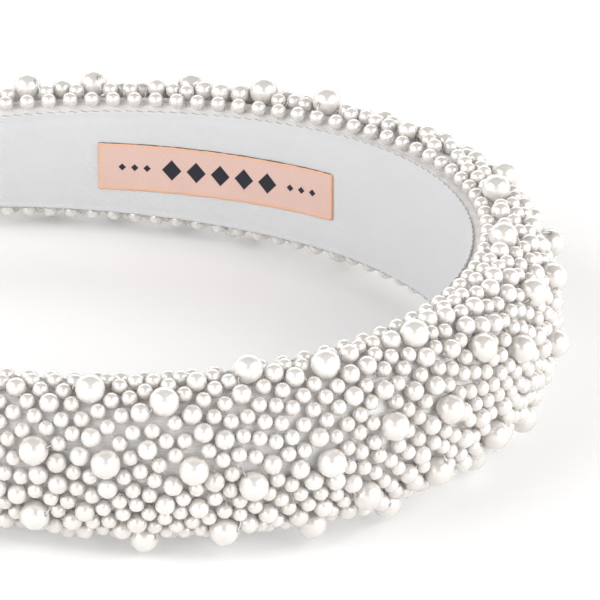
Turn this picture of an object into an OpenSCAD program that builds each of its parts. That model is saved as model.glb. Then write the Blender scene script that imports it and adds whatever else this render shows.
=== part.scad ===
// Padded headband covered in faux pearls, lying on its side as it rests on a table.
// Band frame: +X points to the crown, +Y to one arm, +Z across the band's width.
// Every place on the band is given as s (arc length along the lining from the crown's
// middle), h (height out from the lining's face) and z (across the width).

/* [Band line] */
// Radius of the lining's face round the crown
crown_r = 64.5; // [56:0.5:80]
// Half of the angle that the crown arc covers, in degrees
crown_half_angle = 77.5; // [65:0.5:85]
// Radius of the lining's face along each arm
arm_r = 104; // [90:1:150]
// Length of each arm arc
arm_len = 66; // [45:1:85]
// Radius of the nearly straight end of each arm
end_r = 260; // [160:5:400]
// Length of that end, up to the tip
end_len = 31; // [26:1:45]

/* [Width and padding] */
// Lining width at the crown
lining_w_crown = 29.4; // [22:0.2:40]
// Lining width at the tips
lining_w_tip = 16.4; // [14:0.2:20]
// How late along the arm the width narrows (2 is a plain parabola)
taper_power = 1.84; // [1.4:0.02:2.6]
// Height of the padded cover above the lining's face at the crown
pad_h_crown = 14.7; // [11:0.1:18]
// Height of the padded cover where the tip taper starts
pad_h_arm = 12.5; // [10:0.1:16]
// Height of the padded cover where it enters the tip wrap
pad_h_tip = 9; // [8.5:0.1:11]
// Length of the tip taper, measured back from the tip
pad_taper_len = 44; // [30:1:55]
// How far the padding swells past the lining's edge on each side
pad_swell = 0.5; // [0.2:0.1:1.5]
// How far the stitched edge row pulls the padding in
pad_pinch = 1.27; // [0.8:0.01:1.8]

/* [Layers] */
// Thickness of the satin lining
lining_t = 0.3; // [0.2:0.05:0.5]
// Thickness of the cover fabric
cover_t = 0.25; // [0.15:0.05:0.4]
// Thickness of the springy core strip
core_t = 1.2; // [0.8:0.1:1.4]
// How far the core strip stops short of the lining's edge
core_inset = 0.7; // [0.5:0.1:1.5]
// Width of the cover's hem that is turned in under the lining
hem_w = 4; // [2:0.5:5.5]
// Air or glue between neighbouring layers
layer_gap = 0.02; // [0.01:0.01:0.05]

/* [Pearls] */
// Small pearl diameter
small_d = 3.2; // [2.6:0.1:3.6]
// Medium pearl diameter
medium_d = 4; // [3.6:0.1:4.8]
// Large pearl diameter
large_d = 5.8; // [5:0.1:7]
// Share of the field pearls that are medium
medium_share = 0.24; // [0:0.02:0.5]
// Least distance between two large pearls
large_space = 12; // [9:0.5:20]
// Distance between neighbouring pearls of an edge row
edge_pitch = 4.3; // [3.8:0.1:6]
// Height of the edge rows' centres above the lining's face
edge_h = 3; // [2.8:0.1:3.4]
// Air between two pearls
pearl_gap = 0.08; // [0.06:0.01:0.3]
// Air between a pearl and the cover under it
seat_gap = 0.02; // [0.01:0.01:0.05]
// Which of the possible arrangements the pearls take
pearl_seed = 7; // [1:1:99]

/* [Label] */
// Length of the woven label
label_l = 51.4; // [30:0.5:60]
// Width of the woven label
label_w = 10.4; // [7:0.1:14]
// Thickness of the woven label
label_t = 0.3; // [0.2:0.05:0.5]
// Place of the label's middle along the arm
label_s = 106; // [60:1:130]
// Place of the label's middle across the width
label_z = -0.9; // [-3:0.1:3]

/* [Tips] */
// Length of the satin wrap over each tip
wrap_len = 13; // [11:0.5:16]
// Thickness of the satin wrap
wrap_t = 0.45; // [0.3:0.05:0.8]

/* [Hidden] */

PEARL_FN = 24;
STATION_STEP = 5;          // spacing of the sections that every layer is swept through
TIP_STATIONS = [9.5, 7.8, 6.4, 5.2, 4.2, 3.3, 2.4, 1.6, 0.8];  // closer ones, back from the tip
DOME_STEPS = 8;            // steps on each half of a section's dome
TRY_COUNT = 14;            // places across the width tried for each pearl
FRONT_COUNT = 44;          // latest pearls that a new one can touch
DOME_SHARE = 0.82;         // part of the lateral range that is dome, the rest is flank
FIELD_T = 0.93;            // outermost lateral place of a field pearl
MAX_PEARLS = 1900;
REST_BAND = 2.2;           // pearls this near the table are the ones it rests on

// ---- the band's line -------------------------------------------------------
function arc_deg(len, r) = len / r * 180 / PI;
crown_len = crown_r * crown_half_angle * PI / 180;
arm_end_s = crown_len + arm_len;
half_len = arm_end_s + end_len;
arm_end_angle = crown_half_angle + arc_deg(arm_len, arm_r);
arm_centre = (crown_r - arm_r) * [cos(crown_half_angle), sin(crown_half_angle)];
end_centre = arm_centre + (arm_r - end_r) * [cos(arm_end_angle), sin(arm_end_angle)];

function line_r(q) = q <= crown_len ? crown_r : q <= arm_end_s ? arm_r : end_r;
function line_centre(q) = q <= crown_len ? [0, 0] : q <= arm_end_s ? arm_centre : end_centre;
function line_angle(q) = q <= crown_len ? arc_deg(q, crown_r)
    : q <= arm_end_s ? crown_half_angle + arc_deg(q - crown_len, arm_r)
    : arm_end_angle + arc_deg(q - arm_end_s, end_r);
// Point at arc length s, height h and place z across the width
function spot(s, h, z) = let (q = abs(s), side = s < 0 ? -1 : 1, a = line_angle(q),
    c = line_centre(q), r = line_r(q) + h)
    [c.x + r * cos(a), side * (c.y + r * sin(a)), z];

// ---- the section across the band -------------------------------------------
field_end = half_len - wrap_len;
NOSE_LEN = 8;              // the strips round off over this length at the tip
NOSE_REACH = 8.6;          // length of the half ellipse that the rounding is part of
function smooth(x) = let (t = min(1, max(0, x))) t * t * (3 - 2 * t);
function nose(q) = let (d = max(0, q - half_len + NOSE_LEN)) sqrt(1 - pow(d / NOSE_REACH, 2));
function lining_half(q) = nose(q)
    * (lining_w_tip + (lining_w_crown - lining_w_tip) * (1 - pow(q / half_len, taper_power))) / 2;
taper_s = half_len - pad_taper_len;
NOSE_H = 5;                // height of the padding at the very tip
function pad_h(q) = q <= taper_s
    ? pad_h_crown - (pad_h_crown - pad_h_arm) * pow(q / taper_s, 2)
    : q <= field_end
    ? pad_h_arm - (pad_h_arm - pad_h_tip) * smooth((q - taper_s) / (field_end - taper_s))
    : pad_h_tip - (pad_h_tip - NOSE_H) * pow((q - field_end) / wrap_len, 2);
DOME_BASE = 0.41;          // the dome starts at this share of the padding's height
// [half width of the dome, height of the dome's base, height of its top] at s
function section(s) = let (q = abs(s), top = pad_h(q))
    [lining_half(q) + pad_swell, max(edge_h + 0.3, DOME_BASE * top), top];
// Point [h, z] on the cover at lateral place t, -1 at the lower edge row to 1 at the upper
function on_cover(sec, t) = let (u = abs(t), side = t < 0 ? -1 : 1,
    a = 90 * (1 - u / DOME_SHARE), f = (u - DOME_SHARE) / (1 - DOME_SHARE))
    u <= DOME_SHARE
    ? [sec[1] + (sec[2] - sec[1]) * sin(a), side * sec[0] * cos(a)]
    : [sec[1] - (sec[1] - edge_h) * f, side * (sec[0] - pad_pinch * f * f)];
// Centre [h, z] of a ball of radius r that rests on the cover at lateral place t
function seat(sec, t, r) = let (d = 0.004, p = on_cover(sec, t),
    e = on_cover(sec, t + d) - on_cover(sec, t - d), n = [e[1], -e[0]] / norm(e))
    p + (r + seat_gap) * n;

// ---- the pearls -------------------------------------------------------------
small_r = small_d / 2;
edge_count = floor((field_end - small_r) / edge_pitch);
FLANK_STEPS = 16;          // points of the flank that an edge pearl is kept clear of
// Centre [h, z] of an edge pearl: as near the padding as a ball of its size can sit
function edge_seat(s) = let (sec = section(s), reach = small_r + seat_gap)
    [edge_h, max([for (k = [0 : FLANK_STEPS])
        let (p = on_cover(sec, DOME_SHARE / 2 + (1 - DOME_SHARE / 2) * k / FLANK_STEPS),
            off = p[0] - edge_h)
        if (abs(off) < reach) p[1] + sqrt(reach * reach - off * off)])];
// A pearl is [s, h, z, r]
function edge_row(side) = [for (i = [-edge_count : edge_count])
    let (s = i * edge_pitch, p = edge_seat(s)) [s, p[0], side * p[1], small_r]];
edge_upper = edge_row(1);
edge_lower = edge_row(-1);
function edge_near(row, s) = let (i = edge_count + round(s / edge_pitch))
    [for (j = [i - 3 : i + 3]) if (j >= 0 && j < len(row)) row[j]];
function near_edges(s) = concat(edge_near(edge_lower, s), edge_near(edge_upper, s));

// How far along s a pearl [h, z, r] must keep from pearl p; 0 where they pass each other
function keep_off(p, h, z, r, bend) = let (d = r + p[3] + pearl_gap,
    rest = d * d - pow(h - p[1], 2) - pow(z - p[2], 2))
    rest <= 0 ? 0 : sqrt(rest) / (1 + (h + p[1]) / 2 * bend);
// Lowest s from which the pearl is past every pearl of the front
function past_front(front, h, z, r, bend, least) =
    max([least, for (p = front) let (k = keep_off(p, h, z, r, bend)) if (k > 0) p[0] + k]);
// The same s, moved on past edge pearls that it would touch
function past_edges(row, s, h, z, r, bend, i = 0) = i >= len(row) ? s
    : let (k = keep_off(row[i], h, z, r, bend))
    past_edges(row, abs(s - row[i][0]) < k ? row[i][0] + k : s, h, z, r, bend, i + 1);
function settle(front, edges, sec, t, r, bend, least) = let (c = seat(sec, t, r),
    s = past_front(front, c[0], c[1], r, bend, least))
    [past_edges(edges, s, c[0], c[1], r, bend), t, c[0], c[1]];
function lowest(list, i = 1, best = 0) = i >= len(list) ? list[best]
    : lowest(list, i + 1, list[i][0] < list[best][0] ? i : best);
BEND_REACH = 4;            // a change of the line's radius counts from this far away
function bend_at(s) = min(1 / line_r(abs(s - BEND_REACH)), 1 / line_r(abs(s + BEND_REACH)));

chance = rands(0, 1, MAX_PEARLS * 3, pearl_seed);
BACKTRACK = 7;             // how far behind the latest pearl the next one may settle
// Best place for a pearl of radius r near s = at
function place(front, edges, at, r, roll) = let (sec = section(at), bend = bend_at(at),
    least = max(r - field_end, at - BACKTRACK), step = 2 * FIELD_T / TRY_COUNT,
    coarse = lowest([for (k = [0 : TRY_COUNT - 1])
        settle(front, edges, sec, step * (k + roll) - FIELD_T, r, bend, least)]),
    fine = lowest([for (f = [-0.5, -0.25, 0, 0.25, 0.5])
        let (t = max(-FIELD_T, min(FIELD_T, coarse[1] + f * step)))
        settle(front, edges, sec, t, r, bend, least)]),
    // once more with the section where the pearl really is
    last = settle(front, edges, section(fine[0]), fine[1], r, bend, least))
    [last[0], last[2], last[3], r];
function far_from(p, others, d) = min([1e3, for (o = others)
    norm([(p[0] - o[0]) * (1 + p[1] / line_r(abs(p[0]))), p[1] - o[1], p[2] - o[2]])]) > d;
function head_of(list, n) = [for (i = [0 : min(n, len(list)) - 1]) list[i]];
// State: [pearl, front, latest large pearls]
LARGE_EVERY = 3;           // a large pearl is tried once in this many turns
LARGE_COUNT = 9;           // latest large pearls that a new one keeps its distance from
function next_state(st, i) = let (at = st[0][0] + small_r / 2, front = st[1],
    edges = near_edges(at),
    big = i % LARGE_EVERY > 0 ? st[0] : place(front, edges, at, large_d / 2, chance[3 * i]),
    use_big = i % LARGE_EVERY == 0
        && far_from(big, st[2], large_space * (1 + 0.3 * chance[3 * i + 1])),
    r = chance[3 * i + 2] < medium_share ? medium_d / 2 : small_r,
    pearl = use_big ? big : place(front, edges, at, r, chance[3 * i + 1]))
    [pearl, concat([pearl], head_of(front, FRONT_COUNT)),
        use_big ? concat([pearl], head_of(st[2], LARGE_COUNT)) : st[2]];
FIRST_T = 0.3;             // lateral place of the first pearl
first_s = small_r - field_end;
first = let (c = seat(section(first_s), FIRST_T, small_r)) [first_s, c[0], c[1], small_r];
packed = [for (i = 0, st = [first, [first], []]; i < MAX_PEARLS && st[0][0] < field_end;
    i = i + 1, st = next_state(st, i)) if (abs(st[0][0]) + st[0][3] <= field_end) st[0]];
// A pearl that was pushed against an edge pearl, or into a gap older than the front, is left out
CULL_COUNT = 150;          // pearls that far back in the order are well clear
function touches(p, o) = abs(p[0] - o[0])
    < keep_off(o, p[1], p[2], p[3], bend_at((p[0] + o[0]) / 2)) - pearl_gap / 4;
function touches_any(i) = len([for (p = near_edges(packed[i][0])) if (touches(packed[i], p)) p])
    + len([for (j = [max(0, i - CULL_COUNT) : max(0, i - FRONT_COUNT)])
        if (j < i && touches(packed[i], packed[j])) j]) > 0;
field = [for (i = [0 : len(packed) - 1]) if (!touches_any(i)) packed[i]];

// ---- how it rests ------------------------------------------------------------
// Crown and tips both touch the table, so the band leans by their difference in half width
tip_x = spot(field_end, 0, 0).x;
crown_rest = lining_half(0) + pad_swell + large_d;
tip_rest = lining_half(field_end) + pad_swell + medium_d;
tilt = atan((crown_rest - tip_rest) / (crown_r + DOME_BASE * pad_h_crown - tip_x));
function ball(p) = concat(spot(p[0], p[1], p[2]), p[3]);
function low_z(b) = b.x * sin(tilt) + b.z * cos(tilt) - b[3];
all_balls = [for (p = concat(field, edge_lower)) ball(p)];
lift = -min([for (b = all_balls) low_z(b)]);
front_x = max([for (b = all_balls) b.x * cos(tilt) - b.z * sin(tilt) + b[3]]);
back_x = spot(half_len, NOSE_H + wrap_t, 0).x * cos(tilt);
shift_x = -(front_x + back_x) / 2;
module rest() { translate([shift_x, 0, lift]) rotate([0, -tilt, 0]) children(); }

// ---- helpers for the solids --------------------------------------------------
// Closed skin through equal rings of points. Each ring goes out along one side and back along
// the other, so its flat end is closed by a strip between the two sides.
module loft(rings) {
    n = len(rings[0]);
    m = len(rings);
    points = [for (ring = rings) each ring];
    sides = [for (k = [0 : m - 2], i = [0 : n - 1]) let (a = k * n, j = (i + 1) % n)
        each [[a + i, a + n + i, a + j], [a + j, a + n + i, a + n + j]]];
    ends = [for (i = [0 : n / 2 - 2]) let (far = n - 1 - i, b = (m - 1) * n)
        each [[i, i + 1, far - 1], [i, far - 1, far],
            [b + far - 1, b + i + 1, b + i], [b + far, b + far - 1, b + i]]];
    polyhedron(points = points, faces = concat(sides, ends), convexity = 8);
}
// Arc lengths of the sections that all layers share, from the crown's middle to one tip
shared = concat([for (k = [0 : floor((half_len - NOSE_LEN - 3) / STATION_STEP)]) k * STATION_STEP],
    [for (d = TIP_STATIONS) half_len - d]);
MIN_STEP = 0.3;            // no two sections of one layer are nearer than this
function stretch(from, to) =
    concat([from], [for (q = shared) if (q > from + MIN_STEP && q < to - MIN_STEP) q], [to]);
function whole_band(last) = let (half = stretch(0, last), n = len(half))
    concat([for (i = [n - 1 : -1 : 1]) -half[i]], half);
function ring_at(s, profile) = [for (p = profile) spot(s, p[0], p[1])];
function mirrored(half) = concat(half, [for (i = [len(half) - 1 : -1 : 0]) [half[i][0], -half[i][1]]]);
// Half of a section from the flank's foot over to the dome's top, `in` mm inside the cover
function pad_half(q, in) = let (sec = section(q), foot = sec[0] - pad_pinch - in)
    [[edge_h, foot], [(edge_h + sec[1]) / 2, sec[0] - pad_pinch / 4 - in],
    for (i = [0 : DOME_STEPS - 1]) let (a = 90 * i / (DOME_STEPS - 0.5))
        [sec[1] + (sec[2] - sec[1] - in) * sin(a), (sec[0] - in) * cos(a)]];

hem_h = lining_t + layer_gap;                    // the hem's face under the lining
core_h = hem_h + cover_t + layer_gap;            // underside of the core strip
foam_h = core_h + core_t + layer_gap;            // underside of the foam
function core_half(q) = lining_half(q) - core_inset;
// Half of the cover's outline, `in` mm inside it, from the hem's inner end to the dome's top
function cover_half(q, in) = let (side = core_half(q) + layer_gap + cover_t - in, low = hem_h + in)
    concat([[low, core_half(q) - hem_w], [low, side], [foam_h - layer_gap + in, side]],
        pad_half(q, in));

// Section of a flat strip between two heights and two places across the width
function strip_ring(s, low, high, from_z, to_z) =
    ring_at(s, [[low, to_z], [high, to_z], [high, from_z], [low, from_z]]);
// The same at any s, on the straight facet between the two sections beside it
function facet_ring(s, low, high, from_z, to_z) = let (k = floor(s / STATION_STEP),
    f = s / STATION_STEP - k, a = strip_ring(k * STATION_STEP, low, high, from_z, to_z),
    b = strip_ring((k + 1) * STATION_STEP, low, high, from_z, to_z))
    [for (i = [0 : 3]) a[i] * (1 - f) + b[i] * f];
module balls(list) {
    for (p = list) translate(spot(p[0], p[1], p[2])) sphere(r = p[3], $fn = PEARL_FN);
}

// ---- the band -----------------------------------------------------------------
// Inside the wraps each layer ends at a shared section of its own
wrap_inner_end = half_len - TIP_STATIONS[7];
core_end = half_len - TIP_STATIONS[6];
lining_end = half_len - TIP_STATIONS[5];
cover_end = half_len - TIP_STATIONS[4];
foam_end = half_len - TIP_STATIONS[3];

module core_band() color("lightgray") rest() loft([for (s = whole_band(core_end))
    let (w = core_half(abs(s))) strip_ring(s, core_h, core_h + core_t, -w, w)]);
module lining_strip() color("gainsboro") rest() loft([for (s = whole_band(lining_end))
    let (w = lining_half(abs(s))) strip_ring(s, 0, lining_t, -w, w)]);
module foam_pad() color("ivory") rest() loft([for (s = whole_band(foam_end))
    let (q = abs(s), half = pad_half(q, cover_t + layer_gap))
    ring_at(s, mirrored(concat([[foam_h, half[0].y]], half)))]);
module cover_fabric() color("whitesmoke") rest() loft([for (s = whole_band(cover_end))
    let (inner = mirrored(cover_half(abs(s), cover_t)), outer = mirrored(cover_half(abs(s), 0)))
    ring_at(s, concat(outer, [for (i = [len(inner) - 1 : -1 : 0]) inner[i]]))]);
module woven_label() color("peachpuff") rest() loft([
    for (s = stretch(label_s - label_l / 2, label_s + label_l / 2))
    facet_ring(s, -layer_gap - label_t, -layer_gap, label_z - label_w / 2, label_z + label_w / 2)]);

// ---- the tips -----------------------------------------------------------------
// A wrap's outline at s, `out` mm outside the padding and the lining
function wrap_outline(q, out) = let (half = pad_half(q, -out), side = lining_half(q) + out)
    mirrored(concat([[-out, side - out], [0, side]], half));
module tip_wrap(side) {
    clear = 2 * layer_gap;
    inner = [for (s = stretch(field_end, wrap_inner_end)) ring_at(side * s, wrap_outline(s, clear))];
    outer = [for (s = stretch(field_end, half_len))
        ring_at(side * s, wrap_outline(s, clear + wrap_t))];
    rings = concat([for (i = [len(inner) - 1 : -1 : 0]) inner[i]], outer);
    loft(side > 0 ? rings : [for (ring = rings) [for (i = [len(ring) - 1 : -1 : 0]) ring[i]]]);
}
module tip_wrap_left() color("gainsboro") rest() tip_wrap(-1);
module tip_wrap_right() color("gainsboro") rest() tip_wrap(1);

// ---- the pearls as pieces --------------------------------------------------------
function rests(p) = low_z(ball(p)) + lift < REST_BAND;
WIDE = 100;                // past the band's edges
// The field pearls of radius r with s and z in the given ranges, less the resting ones
function group(r, s_from, s_to, z_from = -WIDE, z_to = WIDE) = [for (p = field)
    if (p[3] == r && p[0] >= s_from && p[0] < s_to && p[2] >= z_from && p[2] < z_to && !rests(p)) p];
module pearls(r, s_from, s_to, z_from = -WIDE, z_to = WIDE)
    color("seashell") rest() balls(group(r, s_from, s_to, z_from, z_to));
large_r = large_d / 2;
medium_r = medium_d / 2;
module edge_pearls_upper() color("seashell") rest() balls(edge_upper);
module edge_pearls_lower() color("seashell") rest() balls([for (p = edge_lower) if (!rests(p)) p]);
module large_pearls_left_arm() pearls(large_r, -half_len, -crown_len);
module large_pearls_crown() pearls(large_r, -crown_len, crown_len);
module large_pearls_right_arm() pearls(large_r, crown_len, half_len);
module medium_pearls_left_arm() pearls(medium_r, -half_len, -crown_len);
module medium_pearls_crown() pearls(medium_r, -crown_len, crown_len);
module medium_pearls_right_arm() pearls(medium_r, crown_len, half_len);
module small_pearls_left_arm_upper() pearls(small_r, -half_len, -crown_len, 0);
module small_pearls_left_arm_lower() pearls(small_r, -half_len, -crown_len, -WIDE, 0);
module small_pearls_crown_left_upper() pearls(small_r, -crown_len, 0, 0);
module small_pearls_crown_left_lower() pearls(small_r, -crown_len, 0, -WIDE, 0);
module small_pearls_crown_right_upper() pearls(small_r, 0, crown_len, 0);
module small_pearls_crown_right_lower() pearls(small_r, 0, crown_len, -WIDE, 0);
module small_pearls_right_arm_upper() pearls(small_r, crown_len, half_len, 0);
module small_pearls_right_arm_lower() pearls(small_r, crown_len, half_len, -WIDE, 0);
module resting_pearls() color("seashell") rest()
    balls([for (p = concat(field, edge_lower)) if (rests(p)) p]);

core_band();
foam_pad();
cover_fabric();
lining_strip();
woven_label();
tip_wrap_left();
tip_wrap_right();
edge_pearls_upper();
edge_pearls_lower();
large_pearls_left_arm();
large_pearls_crown();
large_pearls_right_arm();
medium_pearls_left_arm();
medium_pearls_crown();
medium_pearls_right_arm();
small_pearls_left_arm_upper();
small_pearls_left_arm_lower();
small_pearls_crown_left_upper();
small_pearls_crown_left_lower();
small_pearls_crown_right_upper();
small_pearls_crown_right_lower();
small_pearls_right_arm_upper();
small_pearls_right_arm_lower();
resting_pearls();
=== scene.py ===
"""Padded headband covered in faux pearls, lying on its side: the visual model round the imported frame.

Lengths in the band's own functions are in millimetres, as in the part's source, and are turned
into metres where a mesh is made. A place on the band is (s, h, z): arc length from the crown's
middle, height out from the lining's face, and place across the width.
"""
import math

import bmesh
import bpy
import numpy as np
from mathutils import Matrix, Vector
from mathutils.kdtree import KDTree


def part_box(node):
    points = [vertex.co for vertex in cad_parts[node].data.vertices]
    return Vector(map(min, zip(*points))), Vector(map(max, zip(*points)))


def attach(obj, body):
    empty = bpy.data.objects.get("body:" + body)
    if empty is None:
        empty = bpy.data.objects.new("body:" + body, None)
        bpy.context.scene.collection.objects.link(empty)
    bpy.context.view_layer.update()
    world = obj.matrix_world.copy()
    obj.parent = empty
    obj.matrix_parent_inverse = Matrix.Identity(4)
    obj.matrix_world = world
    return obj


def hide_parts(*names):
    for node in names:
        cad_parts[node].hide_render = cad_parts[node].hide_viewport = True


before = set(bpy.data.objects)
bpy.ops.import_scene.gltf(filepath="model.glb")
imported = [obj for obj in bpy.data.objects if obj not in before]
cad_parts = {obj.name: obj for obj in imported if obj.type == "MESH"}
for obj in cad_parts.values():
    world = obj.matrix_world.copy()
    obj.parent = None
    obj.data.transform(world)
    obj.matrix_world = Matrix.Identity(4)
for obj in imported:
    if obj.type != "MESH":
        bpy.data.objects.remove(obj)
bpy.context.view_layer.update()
MM = 0.001

# ---- the band's line and section, as the frame was made -------------------------------------
CROWN_R, CROWN_HALF_ANGLE = 64.5, math.radians(77.5)
ARM_R, ARM_LEN = 104.0, 66.0
END_R, END_LEN = 260.0, 31.0
TILT = math.radians(3.1179)
CROWN_LEN = CROWN_R * CROWN_HALF_ANGLE
ARM_END = CROWN_LEN + ARM_LEN
HALF_LEN = ARM_END + END_LEN
ARM_ANGLE = CROWN_HALF_ANGLE + ARM_LEN / ARM_R
WRAP_LEN, WRAP_T = 13.0, 0.45
FIELD_END = HALF_LEN - WRAP_LEN
LINING_W_CROWN, LINING_W_TIP, TAPER_POWER = 29.4, 16.4, 1.84
PAD_H_CROWN, PAD_H_ARM, PAD_H_TIP, NOSE_H = 14.7, 12.5, 9.0, 5.0
TAPER_S = HALF_LEN - 44.0
NOSE_LEN, NOSE_REACH = 8.0, 8.6
PAD_SWELL, PAD_PINCH, DOME_BASE, EDGE_H = 0.5, 1.27, 0.41, 3.0
LINING_T, COVER_T, CORE_T, CORE_INSET, HEM_W, GAP = 0.3, 0.25, 1.2, 0.7, 4.0, 0.02
HEM_H = LINING_T + GAP
FOAM_H = HEM_H + COVER_T + GAP + CORE_T + GAP
LINING_END = HALF_LEN - 3.3
COVER_END = HALF_LEN - 4.2
WRAP_INNER_END = HALF_LEN - 1.6
LABEL_L, LABEL_W, LABEL_T, LABEL_S, LABEL_Z = 51.4, 10.4, 0.3, 106.0, -0.9

# ---- sizes that only the cloth and the thread have --------------------------------------------
HEM_STEP, EDGE_STEP, TURN_R = 1.5, 1.2, 0.12
EDGE_ROLL, SEAM_IN, SEAM_DEPTH, SEAM_HALF_W = 0.13, 1.3, 0.11, 0.35
STITCH_STEP, STITCH_MARGIN, STITCH_IN = 2.3, 2, 0.05
STITCH_LEN, STITCH_THREAD_R = 1.8 * MM, 0.07 * MM
BEAD_THREAD_R = 0.035                   # share of the bead's radius
THREADED_SHARE = 0.6                    # of the bead holes, those whose thread shows
DIMPLE, DISH = 0.16 * MM, 0.05 * MM     # how far a bead pulls the cover in, near and round it
DIMPLE_SHARE = 0.5                      # the dimple's reach, a share of the bead's radius
WRAP_ROLL, WRAP_ROLL_AT = 0.16, 0.5     # the wrap's rolled edge, and how far in it stands
WRAP_SEAM, WRAP_SEAM_AT = 0.1, 1.6      # the stitched line beside it, the same way
WRAP_FOLDS, WRAP_FOLD_DEPTH = 9, 0.035  # folds round the nose, and their depth as a share


def polar(r, a):
    """The point at radius r and angle a."""
    return np.array([r * math.cos(a), r * math.sin(a)])


ARM_CENTRE = polar(CROWN_R - ARM_R, CROWN_HALF_ANGLE)
END_CENTRE = ARM_CENTRE + polar(ARM_R - END_R, ARM_ANGLE)


def band_point(s, h, z):
    """Point of the band in its own frame, in millimetres."""
    q, side = abs(s), -1 if s < 0 else 1
    if q <= CROWN_LEN:
        r, c, a = CROWN_R, (0, 0), q / CROWN_R
    elif q <= ARM_END:
        r, c, a = ARM_R, ARM_CENTRE, CROWN_HALF_ANGLE + (q - CROWN_LEN) / ARM_R
    else:
        r, c, a = END_R, END_CENTRE, ARM_ANGLE + (q - ARM_END) / END_R
    r += h
    return np.array([c[0] + r * math.cos(a), side * (c[1] + r * math.sin(a)), z])


def smooth(x):
    """0 up to x = 0 and 1 from x = 1, with an easy slope between."""
    t = min(1, max(0, x))
    return t * t * (3 - 2 * t)


def lining_half(q):
    """Half width of the lining at distance q from the crown's middle."""
    nose = math.sqrt(1 - (max(0, q - HALF_LEN + NOSE_LEN) / NOSE_REACH) ** 2)
    wide = LINING_W_CROWN - LINING_W_TIP
    return nose * (LINING_W_TIP + wide * (1 - (q / HALF_LEN) ** TAPER_POWER)) / 2


def pad_h(q):
    """Height of the padding over the lining's face."""
    if q <= TAPER_S:
        return PAD_H_CROWN - (PAD_H_CROWN - PAD_H_ARM) * (q / TAPER_S) ** 2
    if q <= FIELD_END:
        return PAD_H_ARM - (PAD_H_ARM - PAD_H_TIP) * smooth((q - TAPER_S) / (FIELD_END - TAPER_S))
    return PAD_H_TIP - (PAD_H_TIP - NOSE_H) * ((q - FIELD_END) / WRAP_LEN) ** 2


def turned(points):
    """Points of the band's frame, leaned over as the band lies."""
    p = np.asarray(points, float)
    c, s = math.cos(TILT), math.sin(TILT)
    return np.stack([p[..., 0] * c - p[..., 2] * s, p[..., 1], p[..., 0] * s + p[..., 2] * c], -1)


def find_shift():
    """How far the leaned band is moved to stand in the frame, read from the lining's box."""
    ends = [band_point(s, h, side * lining_half(abs(s)))
            for s in np.arange(-180, 181, 5.0) for h in (0, LINING_T) for side in (-1, 1)]
    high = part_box("lining_strip")[1]
    here = turned(ends)
    return np.array([high.x / MM - here[:, 0].max(), 0, high.z / MM - here[:, 2].max()])


SHIFT = find_shift()


def row_points(points):
    """Points of the band's frame in the shared frame, in metres."""
    return (turned(points) + SHIFT) * MM


# ---- node helpers ---------------------------------------------------------------------------
def feed(tree, socket, value):
    """Links a node's output to the socket, or sets the socket to a plain value."""
    if isinstance(value, bpy.types.NodeSocket):
        tree.links.new(value, socket)
    else:
        socket.default_value = value


def add(tree, kind, settings=None, **values):
    """A node of that kind. values go to its inputs by name, or by number as _0, _1 and so on."""
    made = tree.nodes.new(kind)
    for key, setting in (settings or {}).items():
        setattr(made, key, setting)
    for key, value in values.items():
        by_number = key[0] == "_" and key[1:].isdigit()
        feed(tree, made.inputs[int(key[1:]) if by_number else key], value)
    return made


def numbered(values):
    """The values named _0, _1 and so on, for inputs that are fed by number."""
    return {f"_{i}": value for i, value in enumerate(values)}


def math_node(tree, operation, *values):
    return add(tree, "ShaderNodeMath", {"operation": operation}, **numbered(values)).outputs[0]


def mix_colour(tree, share, a, b):
    return add(tree, "ShaderNodeMix", {"data_type": "RGBA"}, _0=share, _6=a, _7=b).outputs[2]


def mask(tree, value, none_at, full_at):
    """0 where the value is at none_at, 1 where it is at full_at, and even between."""
    return add(tree, "ShaderNodeMapRange", Value=value,
               **{"From Min": none_at, "From Max": full_at}).outputs[0]


def new_tree(name, kind, inputs, outputs):
    """A node group with named sockets: {name: (socket type, default)}."""
    tree = bpy.data.node_groups.new(name, kind)
    for in_out, sockets in (("INPUT", inputs), ("OUTPUT", outputs)):
        for label, (socket_type, default) in sockets.items():
            s = tree.interface.new_socket(name=label, in_out=in_out, socket_type=socket_type)
            if default is not None:
                s.default_value = default
    return tree, tree.nodes.new("NodeGroupInput"), tree.nodes.new("NodeGroupOutput")


def placed(data, name):
    """An object for the mesh, light or camera, in the scene."""
    made = bpy.data.objects.new(name, data)
    bpy.context.scene.collection.objects.link(made)
    return made


def grown(name, tree, points, attributes, values):
    """Runs a Geometry Nodes tree on a cloud of points and returns its result as a plain piece."""
    cloud = bpy.data.meshes.new(name + "_points")
    cloud.from_pydata([tuple(p) for p in points], [], [])
    for key, data in attributes.items():
        data = np.asarray(data, np.float32)
        kind, field = ("FLOAT", "value") if data.ndim == 1 else ("FLOAT_VECTOR", "vector")
        cloud.attributes.new(key, kind, "POINT").data.foreach_set(field, data.ravel())
    seed_object = placed(cloud, name + "_seed")
    modifier = seed_object.modifiers.new("grow", "NODES")
    modifier.node_group = tree
    ids = {s.name: s.identifier for s in tree.interface.items_tree if s.in_out == "INPUT"}
    for label, v in values.items():
        modifier[ids[label]] = v
    bpy.context.view_layer.update()
    deps = bpy.context.evaluated_depsgraph_get()
    mesh = bpy.data.meshes.new_from_object(seed_object.evaluated_get(deps), depsgraph=deps)
    seed_object.modifiers.remove(modifier)
    bpy.data.objects.remove(seed_object)
    mesh.name = name
    return placed(mesh, name)


def point_value(tree, name, kind="FLOAT_VECTOR"):
    """What the points carry under that name."""
    return add(tree, "GeometryNodeInputNamedAttribute", {"data_type": kind}, Name=name).outputs[0]


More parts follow.
